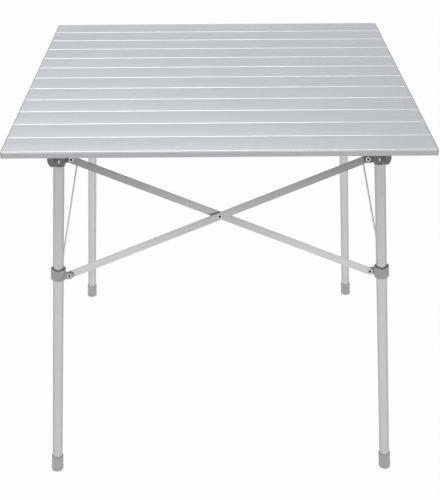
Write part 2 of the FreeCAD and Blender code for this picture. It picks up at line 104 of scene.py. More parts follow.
COLLAR_BORE = 9.8 * MM
COLLAR_HALF = 11.0 * MM
STOP_STATION = 443.3 * MM
EAR_RADIUS = 6.8 * MM
EAR_SPAN = (3.8 * MM, 7.0 * MM)
EAR_START = 10.9 * MM
EAR_BEVEL = 0.5 * MM
STRIP_HALF = 6.7 * MM
STRIP_THICK = 1.6 * MM
STRIP_OFFSET = 2.5 * MM
STRIP_BEVEL = 0.3 * MM
SPACER_RADIUS = 4.4 * MM
SPACER_THICK = 2.4 * MM
CROSS_HEAD_THICK = 0.45 * MM
CROSS_HEAD_RADIUS = 3.4 * MM
STOP_HEAD_RADIUS = 2.8 * MM
RIVET_RADIUS = 4.4 * MM
RIVET_HEIGHT = 1.1 * MM
SHANK = 2.2 * MM

# Profiles, in millimetres. The boss and its plug: (radius, distance out from the leg's axis).
BOSS_PROFILE = [(10.6, 0.0), (10.6, 16.3), (9.8, 17.3), (8.4, 17.4), (8.0, 16.3), (0.2, 16.3)]
PLUG_PROFILE = [(7.8, 15.6), (7.8, 16.9), (7.3, 17.3), (6.2, 17.3),
                (5.6, 16.8), (4.0, 17.0), (2.0, 17.3), (0.1, 17.4)]
# The collar's edges: (inset from its radius, distance from its end); its mouth: (radius, drop).
COLLAR_LOWER_EDGE = [(1.8, 0.0), (0.9, 0.7), (0.25, 2.0), (0.0, 3.2)]
COLLAR_UPPER_EDGE = [(0.0, 0.9), (0.3, 0.25), (0.9, 0.0)]
COLLAR_MOUTH = [(11.0, 0.0), (10.6, 0.2), (9.9, 0.6)]
NOTCH_DEPTH = 1.8 * MM
NOTCH_WIDTH = 0.30

# Studio and camera.
LAMPS = [
    ("overhead", (-0.3, 0.4, 2.6), 2.4, 40.0),
    ("front_left", (-2.4, -2.6, 1.8), 1.6, 9.0),
    ("front_right", (2.6, -2.2, 1.4), 1.6, 7.0),
]
LAMP_AIM = (0.0, 0.0, 0.45)
WORLD_LOW, WORLD_HIGH = 0.96, 0.34
FLOOR_REACH = 40.0
FLOOR_GLOW = 0.985
CAMERA_PLACE = (-0.0083, -1.7831, 1.3100)
CAMERA_PITCH, CAMERA_YAW, CAMERA_ROLL = 0.5249, 0.0055, -0.0050
CAMERA_LENS = 70.16
CAMERA_SENSOR = 36.0
CAMERA_SHIFT = 0.0254


# --- frames: where each leg and each strip lies, from the slides' axes and the sizes above ---

def unit(vector):
    return np.asarray(vector, float) / np.linalg.norm(vector)


def quarter_turn(index):
    """Rotation about Z by a quarter turn, index times."""
    c, s = [(1, 0), (0, 1), (-1, 0), (0, -1)][index % 4]
    return np.array([[c, -s, 0], [s, c, 0], [0, 0, 1]], float)


def turn_onto(target):
    """Smallest rotation that takes +Z to a unit vector: I + K + K K / (1 + cos)."""
    axis = np.cross(UP, target)
    skew = np.array([[0, -axis[2], axis[1]], [axis[2], 0, -axis[0]], [-axis[1], axis[0], 0]])
    return np.eye(3) + skew + skew @ skew / (1.0 + target[2])


def rigid(rotation, origin):
    matrix = np.eye(4)
    matrix[:3, :3] = rotation
    matrix[:3, 3] = origin
    return matrix


def leg_frame(index):
    """Origin where the leg's axis meets the floor, Z up the leg, X towards the next corner."""
    turn = quarter_turn(index)
    up_leg = -unit(JOINTS["slide_" + CORNERS[index]]["axis"])
    return rigid(turn_onto(up_leg) @ turn, turn @ np.array([-LEG_HALF_FLOOR, -LEG_HALF_FLOOR, 0.0]))


def side_pin(side, corner, station):
    """The pin beside a leg, in the side that starts at corner number side."""
    local = [PIN_INSET, 0.0, station, 1.0] if corner == side else [0.0, PIN_INSET, station, 1.0]
    return (leg_frame(corner % 4) @ np.array(local))[:3]


def strip_frame(index, strip):
    """Origin at the strip's hub pin, in the plane of its side; X down the strip, Z outwards."""
    hub_end, collar_end = (index, index + 1) if strip == "inner" else (index + 1, index)
    outward = unit(np.cross(quarter_turn(index)[:, 0], leg_frame(index)[:3, 2]))
    pin = side_pin(index, hub_end, HUB_PIN)
    collar_pin = side_pin(index, collar_end, COLLAR_PIN)
    along = unit(collar_pin - pin - outward * ((collar_pin - pin) @ outward))
    rotation = np.column_stack([along, np.cross(outward, along), outward])
    return rigid(rotation, pin), float(np.linalg.norm(collar_pin - pin))


def moved(shell, matrix):
    """Turns and shifts a shell's points by a 4 by 4 matrix."""
    points, faces = shell
    return points @ matrix[:3, :3].T + matrix[:3, 3], faces


def carried(shells, matrix):
    return [moved(shell, matrix) for shell in shells]


def placed(shell, origin, normal):
    """Carries a shell whose axis is +Z to an origin, with its axis along normal."""
    target = unit(normal)
    flip = np.diag([1.0, -1.0, -1.0])
    rotation = flip if target[2] < -0.9999 else turn_onto(target)
    return moved(shell, rigid(rotation, np.asarray(origin, float)))


# --- surfaces: each is rings of points, joined by quads and closed at its ends ---

def ring_quads(rows, columns, closed):
    """Quads between neighbouring rings, the last column joined to the first."""
    row = np.arange(rows if closed else rows - 1)[:, None] * columns
    column = np.arange(columns)[None, :]
    after = (column + 1) % columns
    following = (row + columns) % (rows * columns)
    quads = [row + column, row + after, following + after, following + column]
    return np.stack(np.broadcast_arrays(*quads), axis=-1).reshape(-1, 4).tolist()


def shell_from_rings(rings, closed=False):
    """A closed shell from an array of rings; open ends are closed by a flat face."""
    rows, columns = rings.shape[:2]
    faces = ring_quads(rows, columns, closed)
    if not closed:
        faces.append(list(range(columns))[::-1])
        faces.append(list(range((rows - 1) * columns, rows * columns)))
    return rings.reshape(-1, 3), faces


def lathe(profile, segments=48, closed=False, notch=None):
    """A profile of (radius, height) pairs turned about Z; notch lowers it by angle and height."""
    profile = np.asarray(profile, float)
    angle = np.linspace(0.0, 2.0 * math.pi, segments, endpoint=False)
    radius = profile[:, 0:1]
    height = np.broadcast_to(profile[:, 1:2], (len(profile), segments)).copy()
    if notch is not None:
        height = height + notch(angle[None, :], height)
    rings = np.stack([radius * np.cos(angle), radius * np.sin(angle), height], axis=-1)
    return shell_from_rings(rings, closed)


def rounded_outline(corners, radii, steps=5):
    """A closed outline whose corners are arcs: each arc's centre lies on the corner's bisector."""
    corners = np.asarray(corners, float)
    radii = np.broadcast_to(np.asarray(radii, float), (len(corners),))
    before = np.roll(corners, 1, axis=0) - corners
    after = np.roll(corners, -1, axis=0) - corners
    before /= np.linalg.norm(before, axis=1, keepdims=True)
    after /= np.linalg.norm(after, axis=1, keepdims=True)
    half = 0.5 * np.arccos(np.clip((before * after).sum(axis=1), -1, 1))
    bisector = before + after
    bisector /= np.linalg.norm(bisector, axis=1, keepdims=True)
    centre = corners + bisector * (radii / np.sin(half))[:, None]
    start = corners + before * (radii / np.tan(half))[:, None] - centre
    end = corners + after * (radii / np.tan(half))[:, None] - centre
    first = np.arctan2(start[:, 1], start[:, 0])
    sweep = np.arctan2(end[:, 1], end[:, 0]) - first
    sweep = (sweep + math.pi) % (2 * math.pi) - math.pi
    angle = first[:, None] + sweep[:, None] * np.linspace(0, 1, steps)[None, :]
    arc = np.stack([np.cos(angle), np.sin(angle)], axis=-1) * radii[:, None, None]
    return (centre[:, None, :] + arc).reshape(-1, 2)


def stadium(length, radius, steps=16):
    """An outline round both ends of a strip: half circles about (0, 0) and (length, 0)."""
    left = np.linspace(math.pi / 2, 3 * math.pi / 2, steps)
    right = left + math.pi
    ends = [np.stack([radius * np.cos(left), radius * np.sin(left)], axis=-1)]
    ends.append(np.stack([length + radius * np.cos(right), radius * np.sin(right)], axis=-1))
    return np.concatenate(ends)


def inset_outline(outline, distance):
    """Moves each point of an anticlockwise outline inwards along its normal."""
    tangent = np.roll(outline, -1, axis=0) - np.roll(outline, 1, axis=0)
    tangent /= np.linalg.norm(tangent, axis=1, keepdims=True)
    inward = np.stack([-tangent[:, 1], tangent[:, 0]], axis=-1)
    return outline + inward * distance


def lofted(outlines, heights):
    """Flat outlines with equal counts of points, stacked along Z."""
    rings = []
    for flat, height in zip(outlines, heights):
        rings.append(np.column_stack([flat, np.full(len(flat), height)]))
    return shell_from_rings(np.array(rings))


def plate(outline, low, high, bevel):
    """An outline lofted from low to high along Z, drawn in by a round bevel at both ends."""
    quarter = np.linspace(0.0, math.pi / 2, 4)
    inset = bevel * (1 - np.sin(quarter))
    rise = bevel * (1 - np.cos(quarter))
    insets = np.concatenate([inset, inset[::-1]])
    heights = np.concatenate([low + rise, high - rise[::-1]])
    return lofted([inset_outline(outline, distance) for distance in insets], heights)


# --- making and finishing an object ---

def new_mesh(name, shells, plain_faces):
    """Joins shells into one mesh; faces after the first plain_faces take the second material."""
    points = np.concatenate([shell[0] for shell in shells])
    faces = []
    offset = 0
    for shell_points, shell_faces in shells:
        faces += [[index + offset for index in face] for face in shell_faces]
        offset += len(shell_points)
    mesh = bpy.data.meshes.new(name)
    mesh.from_pydata(points.tolist(), [], faces)
    mesh.polygons.foreach_set("material_index", (np.arange(len(faces)) >= plain_faces).astype(np.int32))
    work = bmesh.new()
    work.from_mesh(mesh)
    bmesh.ops.remove_doubles(work, verts=work.verts, dist=1e-7)
    bmesh.ops.recalc_face_normals(work, faces=work.faces)
    work.to_mesh(mesh)
    work.free()
    return mesh


def shade(mesh, sharp_degrees=38.0):
    mesh.polygons.foreach_set("use_smooth", np.ones(len(mesh.polygons), bool))
    mesh.set_sharp_from_angle(angle=math.radians(sharp_degrees))
    mesh.update()


def make_piece(name, shells, material, body, nodes=(), remesh=None, eyes=None):
    """One visible piece from closed shells, riding on its body in place of its CAD nodes."""
    mesh = new_mesh(name, shells + (eyes or []), sum(len(shell[1]) for shell in shells))
    piece = bpy.data.objects.new(name, mesh)
    bpy.context.scene.collection.objects.link(piece)
    if remesh:
        merge_shells(piece, remesh)
    shade(piece.data)
    piece.data.materials.append(material)
    if eyes:
        piece.data.materials.append(EYE_PAINTED_SHADE)
    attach(piece, body)
    if nodes:
        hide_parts(*nodes)
    return piece


def merge_shells(piece, voxel):
    """Joins overlapping shells into one moulded skin, then eases its inside corners."""
    fusing = piece.modifiers.new("fusing", "REMESH")
    fusing.mode = "VOXEL"
    fusing.voxel_size = voxel
    easing = piece.modifiers.new("easing", "SMOOTH")
    easing.factor = 0.5
    easing.iterations = 4
    graph = bpy.context.evaluated_depsgraph_get()
    fused = bpy.data.meshes.new_from_object(piece.evaluated_get(graph))
    fused.materials.clear()
    piece.modifiers.clear()
    piece.data = fused


# --- finishes ---

def new_group(name, inputs, outputs):
    """An empty shader group with named sockets and its two end nodes."""
    group = bpy.data.node_groups.new(name, "ShaderNodeTree")
    for label, kind, value in inputs:
        socket = group.interface.new_socket(label, in_out="INPUT", socket_type=kind)
        if value is not None:
            socket.default_value = value
    for label, kind in outputs:
        group.interface.new_socket(label, in_out="OUTPUT", socket_type=kind)
    return group, group.nodes.new("NodeGroupInput"), group.nodes.new("NodeGroupOutput")


def drawn_lines_group():
    """Fine lines drawn along one direction: noise squeezed along the other two, in two sizes."""
    group, source, sink = new_group(
        "drawn_lines",
        [("Vector", "NodeSocketVector", None), ("Squeeze", "NodeSocketVector", (1.0, 1.0, 1.0))],
        [("Fine", "NodeSocketFloat"), ("Broad", "NodeSocketFloat")],
    )
    links = group.links
    squeezed = group.nodes.new("ShaderNodeVectorMath")
    squeezed.operation = "MULTIPLY"
    links.new(source.outputs["Vector"], squeezed.inputs[0])
    links.new(source.outputs["Squeeze"], squeezed.inputs[1])
    for label, scale, detail in (("Fine", 1.0, 3.0), ("Broad", 0.16, 2.0)):
        noise = group.nodes.new("ShaderNodeTexNoise")
        noise.inputs["Scale"].default_value = scale
        noise.inputs["Detail"].default_value = detail
        noise.inputs["Roughness"].default_value = 0.6
        links.new(squeezed.outputs[0], noise.inputs["Vector"])
        links.new(noise.outputs["Fac"], sink.inputs[label])
    return group


def cloudy_group():
    """Soft patches a hand's width across and a fine moulded speckle."""
    group, source, sink = new_group(
        "cloudy",
        [("Vector", "NodeSocketVector", None), ("Patch", "NodeSocketFloat", 9.0),
         ("Grain", "NodeSocketFloat", 900.0)],
        [("Patches", "NodeSocketFloat"), ("Speckle", "NodeSocketFloat")],
    )
    for label, size, detail in (("Patches", "Patch", 2.0), ("Speckle", "Grain", 4.0)):
        noise = group.nodes.new("ShaderNodeTexNoise")
        noise.inputs["Detail"].default_value = detail
        group.links.new(source.outputs["Vector"], noise.inputs["Vector"])
        group.links.new(source.outputs[size], noise.inputs["Scale"])
        group.links.new(noise.outputs["Fac"], sink.inputs[label])
    return group


def new_material(name):
    material = bpy.data.materials.new(name)
    material.use_nodes = True
    nodes = material.node_tree.nodes
    return material, nodes, material.node_tree.links, nodes["Principled BSDF"]


def use_group(nodes, group, **values):
    node = nodes.new("ShaderNodeGroup")
    node.node_tree = group
    for label, value in values.items():
        node.inputs[label].default_value = value
    return node


def ranged(nodes, links, source, low, high, start=0.3, end=0.7):
    """Maps a mask from start..end to low..high."""
    mapping = nodes.new("ShaderNodeMapRange")
    mapping.inputs["From Min"].default_value = start
    mapping.inputs["From Max"].default_value = end
    mapping.inputs["To Min"].default_value = low
    mapping.inputs["To Max"].default_value = high
    links.new(source, mapping.inputs["Value"])
    return mapping.outputs["Result"]


def blended(nodes, links, mask, first, second):
    mix = nodes.new("ShaderNodeMix")
    mix.data_type = "RGBA"
    links.new(mask, mix.inputs["Factor"])
    for socket, colour in ((mix.inputs["A"], first), (mix.inputs["B"], second)):
        if isinstance(colour, tuple):
            socket.default_value = (*colour, 1.0)
        else:
            links.new(colour, socket)
    return mix.outputs["Result"]


def bumped(nodes, links, shader, height, strength, distance):
    bump = nodes.new("ShaderNodeBump")
    bump.inputs["Strength"].default_value = strength
    bump.inputs["Distance"].default_value = distance
    links.new(height, bump.inputs["Height"])
    links.new(bump.outputs["Normal"], shader.inputs["Normal"])


def object_place(nodes):
    return nodes.new("ShaderNodeTexCoord").outputs["Object"]


def arithmetic(nodes, links, operation, first, second):
    """A maths node on a socket and either a number or another socket."""
    node = nodes.new("ShaderNodeMath")
    node.operation = operation
    links.new(first, node.inputs[0])
    if isinstance(second, float):
        node.inputs[1].default_value = second
    else:
        links.new(second, node.inputs[1])
    return node.outputs[0]


def grey(value):
    return (value, value, value)


DRAWN = drawn_lines_group()
CLOUDY = cloudy_group()


def aluminium(name, dark, light, squeeze, roughness, metallic=0.75):
    """Satin anodised aluminium: drawn lines in colour, gloss and height over soft patches."""
    material, nodes, links, shader = new_material(name)
    place = object_place(nodes)
    lines = use_group(nodes, DRAWN, Squeeze=squeeze)
    clouds = use_group(nodes, CLOUDY, Patch=7.0, Grain=1400.0)
    links.new(place, lines.inputs["Vector"])
    links.new(place, clouds.inputs["Vector"])
    mask = ranged(nodes, links, lines.outputs["Fine"], 0.25, 0.75)
    colour = blended(nodes, links, mask, dark, light)
    patch_mask = ranged(nodes, links, clouds.outputs["Patches"], 0.0, 0.16)
    colour = blended(nodes, links, patch_mask, colour, tuple(0.86 * value for value in dark))
    links.new(colour, shader.inputs["Base Color"])
    gloss = ranged(nodes, links, lines.outputs["Broad"], roughness - 0.05, roughness + 0.05)
    links.new(gloss, shader.inputs["Roughness"])
    shader.inputs["Metallic"].default_value = metallic
    bumped(nodes, links, shader, lines.outputs["Fine"], 0.12, 0.0002)
    return material, nodes, links, shader, colour


def slat_aluminium(name):
    """Slat finish: a painted highlight on each front edge's round shoulder, painted shade on its face.

    The band is the remainder of the distance from the front edge divided by a slat's pitch;
    the height under the slat's top splits it into shoulder and face.
    """
    squeeze = (6.0, 900.0, 900.0)
    material, nodes, links, shader, colour = aluminium(
        name, (0.51, 0.528, 0.56), (0.565, 0.583, 0.614), squeeze, 0.46, 0.55)
    low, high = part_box("slat_01")
    place = nodes.new("ShaderNodeSeparateXYZ")
    links.new(object_place(nodes), place.inputs[0])
    along = arithmetic(nodes, links, "SUBTRACT", place.outputs["Y"], low.y)
    within = arithmetic(nodes, links, "FLOORED_MODULO", along, TOP_SIDE / SLAT_COUNT)
    band = ranged(nodes, links, within, 1.0, 0.0, 2.1 * MM, 2.9 * MM)
    split = (high.z - 3.0 * MM, high.z - 2.2 * MM)
    # Painted highlight: the shoulder's colour is lightened; painted shade: the front face's colour is
    # darkened.
    for first, last, painted_light_tint in ((0.0, 1.0, (0.70, 0.705, 0.715)), (1.0, 0.0, (0.45, 0.452, 0.455))):
        level = ranged(nodes, links, place.outputs["Z"], first, last, *split)
        mask = arithmetic(nodes, links, "MULTIPLY", band, level)
        colour = blended(nodes, links, mask, colour, painted_light_tint)
    links.new(colour, shader.inputs["Base Color"])
    return material


def painted_edge_shade(finish):
    """Painted shade: tube sides that turn away from the eye are darkened in colour."""
    material, nodes, links, shader, colour = finish
    turning = nodes.new("ShaderNodeLayerWeight")
    turning.inputs["Blend"].default_value = 0.35
    mask = ranged(nodes, links, turning.outputs["Facing"], 0.0, 0.6, 0.15, 0.8)
    return material, nodes, links, shader, blended(nodes, links, mask, colour, grey(0.10))


def painted_shade_towards_top(finish, low, high, share):
    """Painted shade: darker by share towards the top, where the slats keep the light off."""
    material, nodes, links, shader, colour = finish
    place = nodes.new("ShaderNodeSeparateXYZ")
    links.new(object_place(nodes), place.inputs[0])
    level = ranged(nodes, links, place.outputs["Z"], 0.0, share, low, high)
    links.new(blended(nodes, links, level, colour, grey(0.02)), shader.inputs["Base Color"])
    return material


def moulded(name, dark, light, roughness):
    """Moulded plastic: a fine speckle in height and colour over faint patches."""
    material, nodes, links, shader = new_material(name)
    place = object_place(nodes)
    clouds = use_group(nodes, CLOUDY, Patch=40.0, Grain=2600.0)
    links.new(place, clouds.inputs["Vector"])
    mask = ranged(nodes, links, clouds.outputs["Patches"], 0.0, 1.0)
    links.new(blended(nodes, links, mask, dark, light), shader.inputs["Base Color"])
    gloss = ranged(nodes, links, clouds.outputs["Speckle"], roughness - 0.06, roughness + 0.08)
    links.new(gloss, shader.inputs["Roughness"])
    bumped(nodes, links, shader, clouds.outputs["Speckle"], 0.25, 0.0001)
    return material


def braided(name):
    """Woven elastic cord: one diagonal wave makes the braid's bands."""
    material, nodes, links, shader = new_material(name)
    place = object_place(nodes)
    wave = nodes.new("ShaderNodeTexWave")
    wave.bands_direction = "DIAGONAL"
    wave.inputs["Scale"].default_value = 420.0
    links.new(place, wave.inputs["Vector"])
    colour = blended(nodes, links, wave.outputs["Fac"], grey(0.02), grey(0.09))
    links.new(colour, shader.inputs["Base Color"])
    shader.inputs["Roughness"].default_value = 0.8
    bumped(nodes, links, shader, wave.outputs["Fac"], 0.5, 0.0003)
    return material


SLAT_FINISH = slat_aluminium("slat_satin")
LEG_BASE = aluminium("leg_satin", grey(0.54), grey(0.63), (900.0, 900.0, 5.0), 0.30, 0.85)
# Painted shade on the legs: darker on sides turned from the eye and towards the top.
LEG_FINISH = painted_shade_towards_top(painted_edge_shade(LEG_BASE), 0.40, 0.66, 0.20)
STRIP_BASE = aluminium("strip_satin", grey(0.59), grey(0.68), (60.0, 60.0, 900.0), 0.36, 0.85)
# Painted shade on the strips: darker towards the top.
STRIP_FINISH = painted_shade_towards_top(STRIP_BASE, 0.46, 0.64, 0.60)
# The rivets' eyes: near-black painted shade in their hollows.
EYE_PAINTED_SHADE = moulded("eye_shade", grey(0.01), grey(0.02), 0.7)
RIVET_FINISH = aluminium(
    "rivet_plate", (0.62, 0.62, 0.61), (0.72, 0.72, 0.71), (700.0, 700.0, 700.0), 0.24, 1.0)[0]
HUB_FINISH = moulded("hub_nylon", (0.10, 0.102, 0.098), (0.13, 0.132, 0.127), 0.40)
COLLAR_FINISH = moulded("collar_nylon", grey(0.31), grey(0.36), 0.42)
FOOT_FINISH = moulded("foot_rubber", grey(0.38), grey(0.44), 0.55)
CAP_FINISH = moulded("cap_plastic", (0.20, 0.205, 0.21), (0.25, 0.255, 0.26), 0.5)
CORD_FINISH = braided("cord_braid")


# --- the top ---

def slat_outline(depth, thick):
    """A slat's section: round front shoulder, small back edge, three shallow grooves below."""
    half = depth / 2
    roof = -thick + GROOVE_DEEP
    corners = [(-half, -thick)]
    radii = [SLAT_SMALL_EDGE]
    for share in GROOVE_SHARES:
        left, right = share * depth - GROOVE_HALF, share * depth + GROOVE_HALF
        corners += [(left, -thick), (left + GROOVE_DEEP, roof)]
        corners += [(right - GROOVE_DEEP, roof), (right, -thick)]
        radii += [GROOVE_EDGE] * 4
    corners += [(half, -thick), (half, 0.0), (-half, 0.0)]
    radii += [SLAT_SMALL_EDGE, SLAT_BACK_EDGE, SLAT_SHOULDER]
    return rounded_outline(corners, radii, 6)


def across_top(shell, middle_y, top_z):
    """Lays a shell drawn in (y, z) and lofted along its Z so that it runs along X."""
    points, faces = shell
    laid = np.column_stack([points[:, 2], points[:, 0] + middle_y, points[:, 1] + top_z])
    return laid, faces


def slats_and_caps():
    """Each slat is its section lofted between its box's ends; the caps carry it to the edge."""
    low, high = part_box("slat_01")
    outline = slat_outline(high.y - low.y, high.z - low.z)
    stations = 15
    cap_shells = {-1: [], 1: []}
    edge_x = CAD_BOX[1][0]
    for number in range(1, SLAT_COUNT + 1):
        node = f"slat_{number:02d}"
        low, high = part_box(node)
        middle = (low.y + high.y) / 2
        body = lofted([outline] * stations, np.linspace(low.x, high.x, stations))
        shells = [across_top(body, middle, high.z)]
        make_piece(node + "_extrusion", shells, SLAT_FINISH, "tabletop", [node])
        for side in (-1, 1):
            start, end = sorted((side * high.x, side * edge_x))
            cap_shells[side].append(across_top(plate(outline, start, end, CAP_BEVEL), middle, high.z))
    for side, label in ((-1, "left"), (1, "right")):
        node = "end_caps_" + label
        make_piece(node + "_moulded", cap_shells[side], CAP_FINISH, "tabletop", [node])


# --- fastenings ---

EYE_SHARE = 0.46


def rivet_head(radius, height):
    """A rolled head on +Z: a round rim about a sunken eye."""
    turn = np.linspace(0.0, math.pi, 9)
    rim_middle, rim_half = 0.74 * radius, 0.26 * radius
    rim_radius = rim_middle + rim_half * np.cos(turn)
    rim = np.column_stack([rim_radius, height * (0.25 + 0.75 * np.sin(turn))])
    eye = [(EYE_SHARE * radius, 0.05 * height), (0.05 * radius, 0.05 * height)]
    return lathe([(radius * 0.98, 0.0)] + rim.tolist() + eye, 32)


def rivet_eye(radius, height):
    """The dark bottom of a rolled head's eye: a near-black disc of painted shade in the hollow."""
    edge = EYE_SHARE * radius
    return lathe([(edge, 0.02 * height), (edge, 0.18 * height), (0.05 * radius, 0.12 * height)], 24)


def domed_head(radius, height):
    """A low domed head on +Z: the dome's height follows a cosine of the radius."""
    share = np.array([0.98, 1.0, 0.96, 0.85, 0.65, 0.4, 0.05])
    rise = np.array([0.0, 0.15, 0.45, 0.72, 0.9, 0.98, 1.0])
    return lathe(np.column_stack([radius * share, height * rise]), 32)


def rod(radius, low, high):
    return lathe([(radius, low), (radius, high)], 24)


def ear_rivets(station, next_face, last_face):
    """The half rivets in a pair of ears, with heads on the faces away from the strips."""
    shells, eyes = [], []
    for axis, face in ((0, next_face), (1, last_face)):
        normal = np.zeros(3)
        normal[1 - axis] = np.sign(face[1] - face[0])
        inner, outer = np.full(3, station), np.full(3, station)
        inner[axis] = outer[axis] = PIN_INSET
        inner[1 - axis], outer[1 - axis] = face
        shells.append(placed(rod(SHANK, 0.0, abs(face[1] - face[0])), inner, normal))
        shells.append(placed(rivet_head(RIVET_RADIUS, RIVET_HEIGHT), outer, normal))
        eyes.append(placed(rivet_eye(RIVET_RADIUS, RIVET_HEIGHT), outer, normal))
    return shells, eyes


def cross_pin(index, radius, thick, reach, station):
    """A pin through the leg that runs from front to back of the table, headed at both ends."""
    direction = np.array([0.0, 1.0, 0.0]) if index % 2 == 0 else np.array([1.0, 0.0, 0.0])
    shells = [placed(rod(radius * 0.6, -reach, reach), [0, 0, station], direction)]
    for sign in (-1, 1):
        head = domed_head(radius, thick)
        shells.append(placed(head, direction * sign * reach + UP * station, direction * sign))
    return shells


# --- the legs ---

def ear(along, low, high, station):
    """A flat ear from inside the body's wall to the pin, with a round end and eased edges."""
    outline = stadium(PIN_INSET - EAR_START, EAR_RADIUS)
    points, faces = plate(outline, low, high, EAR_BEVEL)
    out, level = points[:, 0] + EAR_START, points[:, 1] + station
    first, second = (out, points[:, 2]) if along == "x" else (points[:, 2], out)
    return np.column_stack([first, second, level]), faces


def tube():
    """The leg's tube: a closed ring section with eased ends."""
    low, high = LEG_SPAN
    ease, margin = 0.3 * MM, 0.02
    section = [(LEG_RADIUS - ease, low), (LEG_RADIUS, low + ease)]
    section += [(LEG_RADIUS, value) for value in np.linspace(low + margin, high - margin, 12)]
    section += [(LEG_RADIUS, high - ease), (LEG_RADIUS - ease, high), (LEG_BORE, high), (LEG_BORE, low)]
    return lathe(section, 64, closed=True)


def foot_cup():
    """A foot: straight cup with a bead near the floor and an eased lip."""
    inner = LEG_RADIUS + 0.05 * MM
    well = LEG_SPAN[0]
    turn = np.linspace(0.0, math.pi, 7)
    section = [(FOOT_CORE, -FOOT_BELOW), (FOOT_RADIUS - 0.2 * MM, -FOOT_BELOW)]
    section += [(FOOT_RADIUS, -3.0 * MM), (FOOT_RADIUS, 3.6 * MM)]
    section += [(FOOT_RADIUS + FOOT_BEAD * math.sin(value), (5.3 - 1.2 * math.cos(value)) * MM)
                for value in turn]
    section += [(FOOT_RADIUS, 7.2 * MM), (FOOT_RADIUS, FOOT_HEIGHT - 1.4 * MM)]
    section += [(FOOT_RADIUS - 0.3 * MM, FOOT_HEIGHT - 0.5 * MM), (FOOT_RADIUS - 0.8 * MM, FOOT_HEIGHT)]
    section += [(inner, FOOT_HEIGHT), (inner, well), (FOOT_CORE, well)]
    return lathe(section, 64, closed=True)


def level_with_floor(shell, matrix):
    """Slides what lies below the floor up the leg's axis until it is level with it."""
    points, faces = moved(shell, matrix)
    axis = matrix[:3, 2]
    lift = np.clip(-points[:, 2], 0.0, None) / axis[2]
    return points + axis * lift[:, None], faces


def collar_notch(index):
    """A dip in the collar's top edge, front and back, where the stop rivet seats.

    Its depth is a bell curve of the angle from the middle, times the cube of the share of
    the way from the pin up to the top edge.
    """
    middle = math.pi / 2 if index % 2 == 0 else 0.0

    def dip(angle, height):
        away = np.arcsin(np.clip(np.abs(np.sin(angle - middle)), 0, 1))
        depth = NOTCH_DEPTH * np.exp(-((away / NOTCH_WIDTH) ** 2))
        weight = np.clip((height - COLLAR_PIN) / COLLAR_HALF, 0.0, 1.0) ** 3
        return -depth * weight

    return dip


def collar_shells(index):
    """A ring turned from its section, bevelled at both ends, and two flat ears."""
    low, high = COLLAR_PIN - COLLAR_HALF, COLLAR_PIN + COLLAR_HALF
    section = [(COLLAR_BORE, low)]
    section += [(COLLAR_RADIUS - inset * MM, low + rise * MM) for inset, rise in COLLAR_LOWER_EDGE]
    section += [(COLLAR_RADIUS, value) for value in np.linspace(low + 5 * MM, high - 3 * MM, 6)]
    section += [(COLLAR_RADIUS - inset * MM, high - drop * MM) for inset, drop in COLLAR_UPPER_EDGE]
    section += [(radius * MM, high - drop * MM) for radius, drop in COLLAR_MOUTH]
    section += [(COLLAR_BORE, high - 1.0 * MM)]
    ring = lathe(section, 96, closed=True, notch=collar_notch(index))
    next_ear = ear("x", -EAR_SPAN[1], -EAR_SPAN[0], COLLAR_PIN)
    last_ear = ear("y", EAR_SPAN[0], EAR_SPAN[1], COLLAR_PIN)
    return [ring, next_ear, last_ear]


def rounded_square(half, radius):
    corners = [(-half, -half), (half, -half), (half, half), (-half, half)]
    return rounded_outline(corners, radius, 6)


def towards_corner(profile, segments):
    """A profile in millimetres turned about the line from the hub's pin to the table's corner."""
    shell = lathe(np.array(profile) * MM, segments)
    return placed(shell, [0, 0, HUB_PIN], [-1.0, -1.0, 0.0])


def hub_shells(matrix):
    """A leg's head: tube socket with a lip, squared body, corner boss, riser and ears.

    The body is a rounded square, drawn in at its lower end. Whatever would stand above the
    slats' undersides is lowered to lie level just below them.
    """
    top = LEG_SPAN[1]
    inner, outer = 9.6 * MM, 10.8 * MM
    socket = lathe([(inner, HUB_START), (10.2 * MM, HUB_START), (10.7 * MM, HUB_START + 0.6 * MM),
                    (outer, HUB_START + 2 * MM), (outer, top), (inner, top)], 64)
    square = rounded_square(HUB_HALF, 3.2 * MM)
    waist = rounded_square(HUB_HALF - 3 * MM, 4.5 * MM)
    block = lofted([waist, square, square], [HUB_BLOCK_START, HUB_BLOCK_START + 3.4 * MM, HUB_ROOF])
    boss = towards_corner(BOSS_PROFILE, 64)
    riser = lathe([(10.2 * MM, HUB_PIN), (10.2 * MM, HUB_ROOF)], 64)
    riser = moved(riser, rigid(np.eye(3), [-4.4 * MM, -4.4 * MM, 0.0]))
    next_ear = ear("x", EAR_SPAN[0], EAR_SPAN[1], HUB_PIN)
    last_ear = ear("y", -EAR_SPAN[1], -EAR_SPAN[0], HUB_PIN)
    shells = carried([socket, block, boss, riser, next_ear, last_ear], matrix)
    under_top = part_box("slat_01")[0].z - UNDER_SLATS
    for points, _ in shells:
        points[:, 2] = np.minimum(points[:, 2], under_top)
    return shells


def boss_disc():
    """A round plug in the corner boss: a raised ring round a shallow dome."""
    return towards_corner(PLUG_PROFILE, 48)


